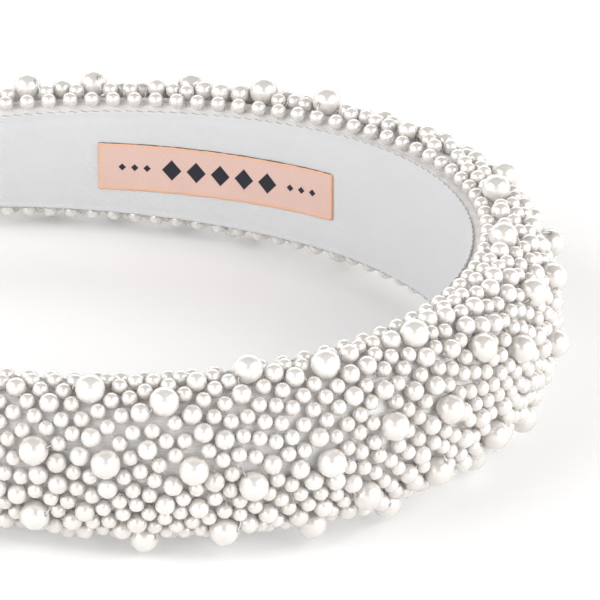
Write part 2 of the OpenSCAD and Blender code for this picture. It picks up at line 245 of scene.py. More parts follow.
def tube(tree, path, radius):
    """Thread of that radius along a curve, with closed ends."""
    profile = add(tree, "GeometryNodeCurvePrimitiveCircle", Resolution=5, Radius=radius)
    skin = add(tree, "GeometryNodeCurveToMesh", Curve=path,
               **{"Profile Curve": profile.outputs[0], "Fill Caps": True})
    return add(tree, "GeometryNodeSetShadeSmooth", Geometry=skin.outputs[0]).outputs[0]


def turn_along(tree, run, up):
    """Rotation that points X along run and leans Z towards up."""
    turn = add(tree, "FunctionNodeAlignRotationToVector", {"axis": "X"}, Vector=run)
    return add(tree, "FunctionNodeAlignRotationToVector", {"axis": "Z", "pivot_axis": "X"},
               Rotation=turn.outputs[0], Vector=up).outputs[0]


def put_out(tree, into, out, instances):
    """Ends a tree: the instances are made real and take the material."""
    real = add(tree, "GeometryNodeRealizeInstances", Geometry=instances)
    done = add(tree, "GeometryNodeSetMaterial", Geometry=real.outputs[0],
               Material=into.outputs["Material"])
    tree.links.new(done.outputs[0], out.inputs["Geometry"])
    return tree


# ---- materials ------------------------------------------------------------------------------
def new_material(name, **constants):
    """(material, tree, shader) with constants set on the shader's own sockets."""
    made = bpy.data.materials.new(name)
    made.use_nodes = True
    tree = made.node_tree
    shader = tree.nodes["Principled BSDF"]
    for key, v in constants.items():
        shader.inputs[key.replace("_", " ")].default_value = v
    return made, tree, shader


def mottle_group():
    """Slow change of tone over a surface, as from handling and uneven cloth."""
    tree, into, out = new_tree(
        "mottle", "ShaderNodeTree",
        {"Place": ("NodeSocketVector", None), "Colour": ("NodeSocketColor", (1, 1, 1, 1)),
         "Shade": ("NodeSocketColor", (0.9, 0.9, 0.9, 1)), "Size": ("NodeSocketFloat", 100.0),
         "Strength": ("NodeSocketFloat", 0.5)},
        {"Colour": ("NodeSocketColor", None)})
    noise = add(tree, "ShaderNodeTexNoise", Vector=into.outputs["Place"],
                Scale=into.outputs["Size"], Detail=3.0)
    share = math_node(tree, "MULTIPLY", noise.outputs["Fac"], into.outputs["Strength"])
    tree.links.new(mix_colour(tree, share, into.outputs["Colour"], into.outputs["Shade"]),
                   out.inputs["Colour"])
    return tree


def weave_group():
    """Woven cloth: fine ribs at an angle with crossing threads, on a surface map in metres."""
    tree, into, out = new_tree(
        "weave", "ShaderNodeTree",
        {"Place": ("NodeSocketVector", None), "Ribs": ("NodeSocketFloat", 2000.0),
         "Angle": ("NodeSocketFloat", 0.6), "Threads": ("NodeSocketFloat", 4000.0),
         "Unevenness": ("NodeSocketFloat", 0.3)},
        {"Height": ("NodeSocketFloat", None), "Groove": ("NodeSocketFloat", None)})
    wobble = add(tree, "ShaderNodeTexNoise", Vector=into.outputs["Place"], Scale=900.0, Detail=2.0)
    place = add(tree, "ShaderNodeVectorRotate", {"rotation_type": "Z_AXIS"},
                Vector=into.outputs["Place"], Angle=into.outputs["Angle"])
    along = add(tree, "ShaderNodeSeparateXYZ", Vector=place.outputs[0])
    flat = add(tree, "ShaderNodeSeparateXYZ", Vector=into.outputs["Place"])
    shift = math_node(tree, "MULTIPLY", wobble.outputs["Fac"], into.outputs["Unevenness"])
    rib = math_node(tree, "MULTIPLY", along.outputs[1], into.outputs["Ribs"])
    rib = math_node(tree, "ADD", rib, math_node(tree, "MULTIPLY", shift, 6.0))
    rib = math_node(tree, "SINE", rib)
    thread = math_node(tree, "SINE", math_node(tree, "MULTIPLY", flat.outputs[0],
                                               into.outputs["Threads"]))
    cross = math_node(tree, "SINE", math_node(tree, "MULTIPLY", flat.outputs[1],
                                              into.outputs["Threads"]))
    mesh = math_node(tree, "MULTIPLY", thread, cross)
    height = math_node(tree, "ADD", rib, math_node(tree, "MULTIPLY", mesh, 0.5))
    height = math_node(tree, "ADD", height, shift)
    tree.links.new(height, out.inputs["Height"])
    # Groove is high in the weave's low places: the materials make them rougher and darken them with
    # painted shade.
    groove = math_node(tree, "MULTIPLY_ADD", height, -0.3, 0.5)
    groove.node.use_clamp = True
    tree.links.new(groove, out.inputs["Groove"])
    return tree


MOTTLE, WEAVE = mottle_group(), weave_group()


def use_group(tree, group, **values):
    """A node that runs the group in this tree."""
    return add(tree, "ShaderNodeGroup", {"node_tree": group}, **values)


MOULDED_RELIEF, CLOTH_RELIEF = 0.00003, 0.00004


def add_bump(tree, shader, height, strength, distance):
    """Relief on the shader's surface; distance is its depth in metres."""
    bump = add(tree, "ShaderNodeBump", Strength=strength, Distance=distance, Height=height)
    tree.links.new(bump.outputs[0], shader.inputs["Normal"])


def pearl_material():
    """Moulded pearl with a nacre coat: warm white, a little different from bead to bead."""
    made, tree, shader = new_material(
        "pearl_coat", IOR=1.5, Metallic=0.27, Coat_Weight=0.8, Coat_Roughness=0.08, Coat_IOR=1.7,
        Specular_IOR_Level=0.6)
    warm_white, cream, pink_grey = (0.75, 0.725, 0.695, 1), (0.69, 0.66, 0.625, 1), (0.64, 0.60, 0.572, 1)
    # The bead's hole is not cut into the ball: painted shade, a dark brown spot with a soft rim, stands
    # for it, with rougher and sunken relief.
    hole_shade_brown = (0.3, 0.27, 0.24, 1)
    hole_rim, hole_edge = 0.955, 0.985      # shares of the radius along the bead's own hole
    tint = add(tree, "ShaderNodeAttribute", {"attribute_name": "tint"}).outputs["Fac"]
    ball = add(tree, "ShaderNodeAttribute", {"attribute_name": "ball_place"}).outputs["Vector"]
    place = add(tree, "ShaderNodeTexCoord").outputs["Object"]
    body = mix_colour(tree, tint, warm_white, cream)
    swirl = add(tree, "ShaderNodeTexNoise", Vector=ball, Scale=1.3, Detail=2.0, Distortion=0.8)
    nacre = mix_colour(tree, math_node(tree, "MULTIPLY", swirl.outputs["Fac"], 0.35),
                       body, pink_grey)
    height = add(tree, "ShaderNodeSeparateXYZ", Vector=ball).outputs[2]
    hole = mask(tree, math_node(tree, "ABSOLUTE", height), hole_rim, hole_edge)
    # Painted shade of the bead's hole over the nacre.
    colour = mix_colour(tree, hole, nacre, hole_shade_brown)
    tree.links.new(colour, shader.inputs["Base Color"])
    fine = add(tree, "ShaderNodeTexNoise", Vector=place, Scale=1800.0, Detail=3.0)
    rough = math_node(tree, "MULTIPLY_ADD", fine.outputs["Fac"], 0.12, 0.17)
    rough = math_node(tree, "MULTIPLY_ADD", hole, 0.4, rough)
    tree.links.new(rough, shader.inputs["Roughness"])
    relief = math_node(tree, "MULTIPLY_ADD", hole, -6.0, fine.outputs["Fac"])
    add_bump(tree, shader, relief, 0.25, MOULDED_RELIEF)
    return made


def cloth_material(name, colour, shade, ribs, angle, threads, rough, bump, sheen):
    """Woven cloth: ribs and threads are in radians a metre, and the ribs run at an angle. The weave's
    grooves get painted shade.
    """
    made, tree, shader = new_material(
        name, Sheen_Weight=sheen, Sheen_Roughness=0.35, Specular_IOR_Level=0.4)
    flat = add(tree, "ShaderNodeUVMap", {"uv_map": "cloth"}).outputs[0]
    place = add(tree, "ShaderNodeTexCoord").outputs["Object"]
    weave = use_group(tree, WEAVE, Place=flat, Ribs=ribs, Angle=angle, Threads=threads,
                      Unevenness=0.3)
    tone = use_group(tree, MOTTLE, Place=place, Colour=colour, Shade=shade, Size=60.0,
                     Strength=0.7)
    # The weave's grooves are darkened towards a deeper tone: painted shade between the threads.
    dark = tuple(0.8 * c for c in shade[:3]) + (1,)
    groove = math_node(tree, "MULTIPLY", weave.outputs["Groove"], 0.5)
    tree.links.new(mix_colour(tree, groove, tone.outputs[0], dark), shader.inputs["Base Color"])
    tree.links.new(math_node(tree, "MULTIPLY_ADD", weave.outputs["Groove"], 0.2, rough),
                   shader.inputs["Roughness"])
    add_bump(tree, shader, weave.outputs["Height"], bump, CLOTH_RELIEF)
    return made


# The label's pattern, in metres along it from its middle and across it
SELVEDGE = (0.0043, 0.0049)
CUT_END = (0.0250, 0.0253)
# The dark line along the label's upper edge is a painted shadow, ragged by noise.
UPPER_EDGE_SHADOW, UPPER_EDGE_SHADOW_DEPTH = (0.00520, 0.00530), 0.0003
LOZENGE_HALF_STEP, LOZENGE_SLANT, LOZENGE_EDGE = 0.0026, 0.9, (0.00215, 0.00200)
LOZENGES_END = (0.0131, 0.0130)
DOT_HALF_STEP, DOT_EDGE = 0.0013, (0.00085, 0.00075)
DOTS_START, DOTS_END = (0.0144, 0.0146), (0.0223, 0.0221)
PEACH, DEEP_PEACH, SELVEDGE_ORANGE = (0.63, 0.45, 0.395, 1), (0.59, 0.41, 0.36, 1), (0.70, 0.40, 0.25, 1)
# The first and last colours of this line are painted: shade in the weave's grooves, and the shadow line
# along the upper edge.
PEACH_GROOVE_SHADE, UPPER_EDGE_SHADOW_BROWN, NAVY = (0.48, 0.27, 0.21, 1), (0.10, 0.085, 0.08, 1), (0.012, 0.011, 0.02, 1)


def label_motif(tree, along, across):
    """A row of lozenges in the middle of the label, with small ones out to its ends."""
    out = math_node(tree, "ABSOLUTE", along)
    step = math_node(tree, "PINGPONG", along, LOZENGE_HALF_STEP)
    lozenge = mask(tree, math_node(tree, "MULTIPLY_ADD", across, LOZENGE_SLANT, step), *LOZENGE_EDGE)
    lozenges = math_node(tree, "MULTIPLY", lozenge, mask(tree, out, *LOZENGES_END))
    small_step = math_node(tree, "PINGPONG", along, DOT_HALF_STEP)
    dot = mask(tree, math_node(tree, "ADD", across, small_step), *DOT_EDGE)
    ends = math_node(tree, "MULTIPLY", mask(tree, out, *DOTS_START), mask(tree, out, *DOTS_END))
    return math_node(tree, "MAXIMUM", lozenges, math_node(tree, "MULTIPLY", dot, ends))


def label_material():
    """Satin-woven label: warm selvedges, a painted shadow line along its upper edge and a plain lozenge
    motif.
    """
    made, tree, shader = new_material(
        "label_weave", Sheen_Weight=0.1, Sheen_Roughness=0.35, Specular_IOR_Level=0.35)
    flat = add(tree, "ShaderNodeUVMap", {"uv_map": "cloth"}).outputs[0]
    weave = use_group(tree, WEAVE, Place=flat, Ribs=11000.0, Angle=1.1, Threads=16000.0,
                      Unevenness=0.4)
    axes = add(tree, "ShaderNodeSeparateXYZ", Vector=flat)
    across = math_node(tree, "ABSOLUTE", axes.outputs[1])
    along = math_node(tree, "SUBTRACT", axes.outputs[0], LABEL_S * MM)
    cut = mask(tree, math_node(tree, "ABSOLUTE", along), *CUT_END)
    selvedge = math_node(tree, "MAXIMUM", mask(tree, across, *SELVEDGE), cut)
    body = use_group(tree, MOTTLE, Place=flat, Colour=PEACH, Shade=DEEP_PEACH, Size=160.0,
                     Strength=0.8)
    cloth = mix_colour(tree, selvedge, body.outputs[0], SELVEDGE_ORANGE)
    # The weave's grooves are darkened with painted shade.
    groove = math_node(tree, "MULTIPLY", weave.outputs["Groove"], 0.3)
    cloth = mix_colour(tree, groove, cloth, PEACH_GROOVE_SHADE)
    # Painted shadow: a thin dark brown line along the upper edge, with a ragged inner side.
    ragged = add(tree, "ShaderNodeTexNoise", Vector=flat, Scale=700.0, Detail=2.0).outputs["Fac"]
    reach = math_node(tree, "MULTIPLY_ADD", ragged, UPPER_EDGE_SHADOW_DEPTH, axes.outputs[1])
    cloth = mix_colour(tree, mask(tree, reach, *UPPER_EDGE_SHADOW), cloth, UPPER_EDGE_SHADOW_BROWN)
    motif = label_motif(tree, along, across)
    tree.links.new(mix_colour(tree, motif, cloth, NAVY), shader.inputs["Base Color"])
    tree.links.new(math_node(tree, "MULTIPLY_ADD", weave.outputs["Groove"], 0.2, 0.5),
                   shader.inputs["Roughness"])
    height = math_node(tree, "MULTIPLY_ADD", motif, 1.5, weave.outputs["Height"])
    add_bump(tree, shader, height, 0.35, CLOTH_RELIEF)
    return made


def thread_material(name, colour, shade):
    """Glossy sewing thread."""
    made, tree, shader = new_material(name, Roughness=0.25, IOR=1.5)
    place = add(tree, "ShaderNodeTexCoord").outputs["Object"]
    tone = use_group(tree, MOTTLE, Place=place, Colour=colour, Shade=shade, Size=900.0,
                     Strength=0.9)
    tree.links.new(tone.outputs[0], shader.inputs["Base Color"])
    return made


def core_material():
    """Springy strip with a fine moulded grain."""
    made, tree, shader = new_material("core_plastic", Specular_IOR_Level=0.4)
    place = add(tree, "ShaderNodeTexCoord").outputs["Object"]
    tone = use_group(tree, MOTTLE, Place=place, Colour=(0.75, 0.75, 0.74, 1),
                     Shade=(0.66, 0.66, 0.66, 1), Size=150.0, Strength=0.8)
    tree.links.new(tone.outputs[0], shader.inputs["Base Color"])
    grain = add(tree, "ShaderNodeTexNoise", Vector=place, Scale=4000.0, Detail=2.0)
    tree.links.new(math_node(tree, "MULTIPLY_ADD", grain.outputs["Fac"], 0.2, 0.4),
                   shader.inputs["Roughness"])
    add_bump(tree, shader, grain.outputs["Fac"], 0.2, MOULDED_RELIEF)
    return made


SATIN = {"ribs": 15000.0, "angle": 0.62, "threads": 21000.0, "rough": 0.45, "sheen": 0.1}
PEARL = pearl_material()
COVER_CLOTH = cloth_material(
    "cover_cloth", (0.93, 0.92, 0.91, 1), (0.86, 0.85, 0.84, 1), ribs=9000.0, angle=0.0,
    threads=9000.0, rough=0.6, bump=0.4, sheen=0.3)
LINING_SATIN = cloth_material(
    "lining_satin", (0.62, 0.625, 0.635, 1), (0.55, 0.555, 0.57, 1), bump=0.7, **SATIN)
TIP_SATIN = cloth_material(
    "tip_satin", (0.70, 0.70, 0.70, 1), (0.63, 0.63, 0.64, 1), bump=0.35, **SATIN)
LABEL_WEAVE, CORE_PLASTIC = label_material(), core_material()
CLEAR_THREAD = thread_material("clear_thread", (0.9, 0.89, 0.87, 1), (0.62, 0.6, 0.57, 1))
# This thread's dark grey is partly painted shade: it also stands for the shadow line in the gap along the
# lining's edges.
SEAM_THREAD_AND_SHADE = thread_material("seam_thread_and_shade", (0.42, 0.40, 0.38, 1), (0.22, 0.21, 0.2, 1))


# ---- swept pieces ---------------------------------------------------------------------------
def swept(name, sections, material):
    """Closed skin through sections (s, ring of [h, z] points, map places across). A ring goes out
    along one side of the cloth and back along the other, and the two end rings are closed by a
    strip between the sides. The surface map is (s, place across) in metres."""
    n = len(sections[0][1])
    verts = row_points([[band_point(s, h, z) for h, z in ring]
                        for s, ring, _ in sections]).reshape(-1, 3)
    places = np.array([[(s * MM, v * MM) for v in across] for s, _, across in sections])
    faces, maps = [], []
    for k in range(len(sections) - 1):
        for i in range(n):
            j, far = (i + 1) % n, min(i + 1, n - 1)
            faces.append((k * n + i, (k + 1) * n + i, (k + 1) * n + j, k * n + j))
            maps += [places[k, i], places[k + 1, i], places[k + 1, far], places[k, far]]
    for k in (0, len(sections) - 1):
        for i in range(n // 2 - 1):
            quad = (i, i + 1, n - 2 - i, n - 1 - i)
            faces.append(tuple(k * n + x for x in quad))
            maps += [places[k, x] for x in quad]
    mesh = bpy.data.meshes.new(name)
    mesh.from_pydata([tuple(v) for v in verts], [], faces)
    layer = mesh.uv_layers.new(name="cloth")
    layer.data.foreach_set("uv", np.array(maps, np.float32).ravel())
    work = bmesh.new()
    work.from_mesh(mesh)
    bmesh.ops.recalc_face_normals(work, faces=work.faces)
    work.to_mesh(mesh)
    work.free()
    mesh.polygons.foreach_set("use_smooth", [True] * len(mesh.polygons))
    mesh.materials.append(material)
    return placed(mesh, name)


def spaced(low, high, step):
    """Even places from low to high, no further apart than step."""
    return np.linspace(low, high, int(math.ceil((high - low) / step)) + 1)


def sections_of(ring_at, low, high, step):
    """Sections for swept, from a function that gives (ring, map places) at s."""
    return [(s, *ring_at(s)) for s in spaced(low, high, step)]


def running(points):
    """Length run along a ring's points, from its first."""
    p = np.asarray(points, float)
    return np.concatenate([[0], np.cumsum(np.linalg.norm(np.diff(p, axis=0), axis=1))])


def flank_and_dome(q, out, flank_steps, dome_steps):
    """[h, z] from the flank's foot to the dome's top, out mm outside the cover."""
    half, top = lining_half(q) + PAD_SWELL, pad_h(q)
    base = max(EDGE_H + 0.3, DOME_BASE * top)
    side = [(base - (base - EDGE_H) * f, half - PAD_PINCH * f * f + out)
            for f in np.linspace(1, 0, flank_steps + 1)[:-1]]
    dome = [(base + (top - base + out) * math.sin(a), (half + out) * math.cos(a))
            for a in np.linspace(0, math.pi / 2, dome_steps + 1)]
    return side + dome


def over(half):
    """A half ring up to its top point, and its mirror image down the other side."""
    return half + [(h, -z) for h, z in half[-2::-1]]


def cover_ring(s):
    """The cover and the foam in it: turned in under the core, up the flanks and over the dome."""
    q = abs(s)
    side = lining_half(q) - CORE_INSET + GAP + COVER_T
    hem = lining_half(q) - CORE_INSET - HEM_W
    up = flank_and_dome(q, 0.0, 8, 26)
    shoulder = FOAM_H - 0.2
    foot = [(HEM_H, hem), (HEM_H, hem + HEM_STEP), (HEM_H, side - EDGE_STEP),
            (HEM_H, side - TURN_R), (HEM_H + TURN_R * 0.3, side - TURN_R * 0.3),
            (HEM_H + TURN_R, side), (shoulder, side),
            ((shoulder + EDGE_H) / 2, (side + up[0][1]) / 2)]
    low, in_side = HEM_H + COVER_T, side - COVER_T
    core_side = [(low, hem), (low, hem + HEM_STEP), (low, side - EDGE_STEP), (low, in_side - 0.1),
                 (low + 0.15, in_side), (low + 0.5, in_side), (FOAM_H - 0.4, in_side),
                 (FOAM_H, in_side)]
    floor_of_foam = [(FOAM_H, in_side * (1 - (k + 1) / len(up))) for k in range(len(up))]
    ring = over(foot + up) + over(core_side + floor_of_foam)[::-1]
    return ring, running(ring)


def lining_ring(s):
    """Satin strip with its edges turned under: a soft roll, then a shallow sewn groove."""
    w = lining_half(abs(s))
    zs = [w - 0.02, w - 0.14, w - 0.4, w - 0.9, w - 1.3, w - 1.7, w - 2.4]
    zs += list(np.linspace(w - 3.2, 0, 9))
    pucker = 0.05 * math.sin(s * 2.1) + 0.03 * math.sin(s * 5.3 + 1.0)

    def roll(z):
        return EDGE_ROLL * max(0.0, 1 - (w - z) / 0.25) ** 2

    def groove(z):
        return (SEAM_DEPTH + pucker) * math.exp(-((w - z - SEAM_IN) / SEAM_HALF_W) ** 2)

    under = [(roll(z) + groove(z), z) for z in zs]
    above = [(LINING_T - roll(z), z) for z in zs]
    ring = over(under) + over(above)[::-1]
    return ring, running(ring)


def label_ring(s):
    """Woven strip with firm selvedges, a rolled end towards the crown and slightly wavy edges."""
    along = s - LABEL_S
    wave = 0.03 * math.sin(along * 0.9) + 0.02 * math.sin(along * 2.3 + 0.7)
    near_end = max(0.0, 1 - (along + LABEL_L / 2) / 0.8)
    w = LABEL_W / 2 - 0.35 * near_end ** 2
    top, foot = -GAP - LABEL_T, -GAP
    puff = 0.05 * math.sin(along * 0.35)
    zs = [w, w - 0.08, w - 0.35, w - 0.6] + list(np.linspace(w - 1.1, 0, 8))

    def face(z):
        inward = w - z
        rounded_edge = 0.12 * max(0.0, 1 - inward / 0.2) ** 2
        sunk = 0.05 * min(1, inward) - 0.02
        return top + rounded_edge + max(0.0, sunk + 0.3 * puff)

    upper = [(face(z), LABEL_Z + z + wave * (z / w)) for z in zs]
    lower = [(face(z), LABEL_Z - z + wave * (z / w)) for z in zs]
    front = upper + lower[-2::-1]
    ring = front + [(foot, z) for _, z in front[::-1]]
    return ring, [z - LABEL_Z for _, z in ring]


def wrap_rings(side):
    """(s, ring) pairs of a tip's satin wrap, inside out from its inner end to its outer tip."""
    clear = 2 * GAP

    def outline(q, out, fold):
        edge = lining_half(q) + out
        base = [(-out, edge - 4.0), (-out, edge - 2.0), (-out, edge - out - 0.1),
                (-out * 0.7, edge - 0.12), (0, edge), (1.2, edge - 0.1)]
        ring = np.array(over(base + flank_and_dome(q, out, 5, 12)))
        if fold:
            middle = np.array([pad_h(q) / 2, 0.0])
            away = ring - middle
            turn = np.arctan2(away[:, 0], away[:, 1])
            drawn_in = fold * (0.5 + 0.5 * np.cos(WRAP_FOLDS * turn))
            ring = middle + away * (1 - drawn_in)[:, None]
        return ring

    inner = [(s, outline(s, clear, 0)) for s in spaced(FIELD_END, WRAP_INNER_END, 1.0)]
    outer = []
    for s in spaced(FIELD_END, HALF_LEN, 0.5):
        d = s - FIELD_END
        roll = WRAP_ROLL * math.exp(-((d - WRAP_ROLL_AT) / 0.5) ** 2)
        seam = -WRAP_SEAM * math.exp(-((d - WRAP_SEAM_AT) / 0.3) ** 2)
        fold = WRAP_FOLD_DEPTH * smooth((d - 3) / 9)
        outer.append((s, outline(s, clear + WRAP_T + roll + seam, fold)))
    return [(side * s, ring) for s, ring in inner[::-1] + outer]


def tip_wrap(name, side):
    """The satin wrap of one tip; side is -1 for the arm that runs to -Y."""
    return swept(name, [(s, ring, running(ring)) for s, ring in wrap_rings(side)], TIP_SATIN)


# ---- the pearls, read from the frame ----------------------------------------------------------
PEARL_RADII = np.array([1.6, 2.0, 2.9]) * MM
ZONES = {
    "edge_pearl_rows": ["edge_pearls_upper", "edge_pearls_lower"],
    "left_arm_pearls": ["large_pearls_left_arm", "medium_pearls_left_arm",
                        "small_pearls_left_arm_upper", "small_pearls_left_arm_lower"],
    "crown_pearls": ["large_pearls_crown", "medium_pearls_crown",
                     "small_pearls_crown_left_upper", "small_pearls_crown_left_lower",
                     "small_pearls_crown_right_upper", "small_pearls_crown_right_lower"],
    "right_arm_pearls": ["large_pearls_right_arm", "medium_pearls_right_arm",
                         "small_pearls_right_arm_upper", "small_pearls_right_arm_lower"],
    "underside_pearls": ["resting_pearls"],
}


def balls_of(node):
    """Centre and radius of every ball in a CAD node, from its loose triangles."""
    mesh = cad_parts[node].data
    mesh.calc_loop_triangles()
    co = np.zeros(len(mesh.vertices) * 3)
    mesh.vertices.foreach_get("co", co)
    co = co.reshape(-1, 3)
    tris = np.zeros(len(mesh.loop_triangles) * 3, int)
    mesh.loop_triangles.foreach_get("vertices", tris)
    keys = np.round((co + 1) * 1e6).astype(np.int64)
    _, first, same = np.unique(keys @ np.array([1, 4_000_000, 16_000_000_000_000]),
                               return_index=True, return_inverse=True)
    tris = same.ravel()[tris].reshape(-1, 3)
    label = np.arange(len(first))
    while True:
        lowest = label[tris].min(axis=1)
        new = label.copy()
        for i in range(3):
            np.minimum.at(new, tris[:, i], lowest)
        new = new[new]
        if (new == label).all():
            break
        label = new
    points = co[first]
    found = []
    for k in np.unique(label):
        part = points[label == k]
        centre = (part.min(0) + part.max(0)) / 2
        r = np.linalg.norm(part - centre, axis=1).mean()
        found.append((*centre, PEARL_RADII[np.abs(PEARL_RADII - r).argmin()]))
    return np.array(found)


def ball_tree(facets):
    """Balls on points: a cube's faces blown up to a ball, turned along each point's bead hole."""
    tree, into, out = new_tree(
        f"balls_{facets}", "GeometryNodeTree",
        {"Geometry": ("NodeSocketGeometry", None), "Facets": ("NodeSocketInt", facets),
         "Seed": ("NodeSocketInt", 1), "Material": ("NodeSocketMaterial", None)},
        {"Geometry": ("NodeSocketGeometry", None)})
    corners = math_node(tree, "ADD", into.outputs["Facets"], 1.0)
    cube = add(tree, "GeometryNodeMeshCube", Size=(2, 2, 2))
    for axis in ("X", "Y", "Z"):
        tree.links.new(corners, cube.inputs["Vertices " + axis])
    here = add(tree, "GeometryNodeInputPosition").outputs[0]
    axes = add(tree, "ShaderNodeSeparateXYZ", Vector=here)
    even = add(tree, "ShaderNodeCombineXYZ", **numbered(
        math_node(tree, "TANGENT", math_node(tree, "MULTIPLY", axis, math.pi / 4))
        for axis in axes.outputs))
    round_place = add(tree, "ShaderNodeVectorMath", {"operation": "NORMALIZE"}, _0=even.outputs[0])
    ball = add(tree, "GeometryNodeSetPosition", Geometry=cube.outputs["Mesh"],
               Position=round_place.outputs[0])
    ball = add(tree, "GeometryNodeSetShadeSmooth", Geometry=ball.outputs[0])
    keep = add(tree, "GeometryNodeStoreNamedAttribute",
               {"data_type": "FLOAT_VECTOR", "domain": "POINT"}, Geometry=ball.outputs[0],
               Name="ball_place")
    tree.links.new(add(tree, "GeometryNodeInputPosition").outputs[0], keep.inputs["Value"])
    turn = add(tree, "FunctionNodeAlignRotationToVector", {"axis": "Z"},
               Vector=point_value(tree, "hole_axis"))
    laid = add(tree, "GeometryNodeInstanceOnPoints", Points=into.outputs["Geometry"],
               Instance=keep.outputs[0], Rotation=turn.outputs[0],
               Scale=point_value(tree, "radius", "FLOAT"))
    chance = add(tree, "FunctionNodeRandomValue", {"data_type": "FLOAT"},
                 Seed=into.outputs["Seed"])
    tinted = add(tree, "GeometryNodeStoreNamedAttribute",
                 {"data_type": "FLOAT", "domain": "INSTANCE"}, Geometry=laid.outputs[0],
                 Name="tint")
    tree.links.new(chance.outputs[1], tinted.inputs["Value"])
    return put_out(tree, into, out, tinted.outputs[0])


def thread_tree():
    """Short threads, sized by the bead: from its hole, over its shoulder and into the cloth."""
    tree, into, out = new_tree(
        "threads", "GeometryNodeTree",
        {"Geometry": ("NodeSocketGeometry", None), "Thickness": ("NodeSocketFloat", 0.04),
         "Material": ("NodeSocketMaterial", None)},
        {"Geometry": ("NodeSocketGeometry", None)})
    path = add(tree, "GeometryNodeCurvePrimitiveBezierSegment", Resolution=6,
               Start=(0.86, 0, 0.02), End=(1.2, 0, -1.08),
               **{"Start Handle": (1.18, 0, 0.10), "End Handle": (1.16, 0, -0.7)})
    laid = add(tree, "GeometryNodeInstanceOnPoints", Points=into.outputs["Geometry"],
               Instance=tube(tree, path.outputs[0], into.outputs["Thickness"]),
               Rotation=turn_along(tree, point_value(tree, "hole_axis"), point_value(tree, "up")),
               Scale=point_value(tree, "radius", "FLOAT"))
    return put_out(tree, into, out, laid.outputs[0])


def stitch_tree():
    """Short slip stitches on points, each a low arch of thread along its own direction."""
    tree, into, out = new_tree(
        "slip_stitches", "GeometryNodeTree",
        {"Geometry": ("NodeSocketGeometry", None), "Length": ("NodeSocketFloat", 0.0011),
         "Thickness": ("NodeSocketFloat", 0.0001), "Material": ("NodeSocketMaterial", None)},
        {"Geometry": ("NodeSocketGeometry", None)})
    arch = add(tree, "GeometryNodeCurveQuadraticBezier", Resolution=5, Start=(-0.5, 0, -0.12),
               Middle=(0, 0, 0.22), End=(0.5, 0, -0.12))
    size = add(tree, "ShaderNodeCombineXYZ", **numbered([into.outputs["Length"]] * 3))
    path = add(tree, "GeometryNodeTransform", Geometry=arch.outputs[0], Scale=size.outputs[0])
    laid = add(tree, "GeometryNodeInstanceOnPoints", Points=into.outputs["Geometry"],
               Instance=tube(tree, path.outputs[0], into.outputs["Thickness"]),
               Rotation=turn_along(tree, point_value(tree, "run"), point_value(tree, "up")))
    return put_out(tree, into, out, laid.outputs[0])


def seam_spots():
    """(s, h, z) of the stitches: along both edges of the lining, half a step apart."""
    low, high = -FIELD_END + STITCH_MARGIN, FIELD_END - STITCH_MARGIN
    return [(s + (STITCH_STEP / 2 if side < 0 else 0), STITCH_IN,
             side * (lining_half(abs(s)) - STITCH_IN))
            for s in np.arange(low, high, STITCH_STEP) for side in (-1, 1)]


def edge_stitches(name, spots, material):
    """Stitches at (s, h, z) spots that lean across the lining's edge; up points off the cloth."""
    places, runs, ups = [], [], []
    for s, h, z in spots:
        here, on = row_points([band_point(s, h, z), band_point(s + 0.5, h, z + 0.12)])
        foot, off = row_points([band_point(s, h, z),
                                band_point(s, h - 1, z + math.copysign(0.8, z))])
        places.append(here)
        runs.append(on - here)
        ups.append(off - foot)
    return grown(name, stitch_tree(), places, {"run": runs, "up": ups},
                 {"Length": STITCH_LEN, "Thickness": STITCH_THREAD_R, "Material": material})


# ---- the cloth pieces -------------------------------------------------------------------------
cover = swept("padded_cover", sections_of(cover_ring, -COVER_END, COVER_END, 1.0), COVER_CLOTH)
lining = swept("satin_lining", sections_of(lining_ring, -LINING_END, LINING_END, 1.0),
               LINING_SATIN)
label = swept("label_cloth",
              sections_of(label_ring, LABEL_S - LABEL_L / 2, LABEL_S + LABEL_L / 2, 0.6),
              LABEL_WEAVE)
wraps = [tip_wrap("left_tip_satin", -1), tip_wrap("right_tip_satin", 1)]


def points_and_normals(piece):
    """Positions and outward normals of a piece's points."""
    n = len(piece.data.vertices)
    co, no = np.zeros(n * 3), np.zeros(n * 3)
    piece.data.vertices.foreach_get("co", co)
    piece.data.vertices.foreach_get("normal", no)
    return co.reshape(-1, 3), no.reshape(-1, 3)


def tree_over(points):
    """Search tree that finds the nearest of the points."""
    made = KDTree(len(points))
    for i, p in enumerate(points):
        made.insert(p, i)
    made.balance()
    return made


cover_co, cover_no = points_and_normals(cover)
cover_near = tree_over(cover_co)
chance = np.random.default_rng(11)


# ---- the pearls on the cover --------------------------------------------------------------------
LARGE_FROM = 2.5 * MM
SMALL_FACETS, LARGE_FACETS = 4, 6
LINE_SPREAD, LEAN_SPREAD = 0.2, 0.18    # how far the bead holes stray, in radians
small_balls, large_balls, threads = ball_tree(SMALL_FACETS), ball_tree(LARGE_FACETS), thread_tree()


def bead_frames(balls, in_line):
    """Outward direction and bead-hole direction of each ball. Beads strung in a row keep their
    holes near the row's line; the others turn any way."""
    up = np.array([cover_no[cover_near.find(b[:3])[1]] for b in balls])
    line = np.cross(up, [0, 0, 1.0])
    line /= np.linalg.norm(line, axis=1)[:, None]
    other = np.cross(up, line)
    if in_line:
        angle = chance.normal(0, LINE_SPREAD, len(balls))
    else:
        angle = chance.uniform(0, math.tau, len(balls))
    lean = chance.normal(0, LEAN_SPREAD, len(balls))
    axis = line * np.cos(angle)[:, None] + other * np.sin(angle)[:, None] + up * lean[:, None]
    return up, axis / np.linalg.norm(axis, axis=1)[:, None]


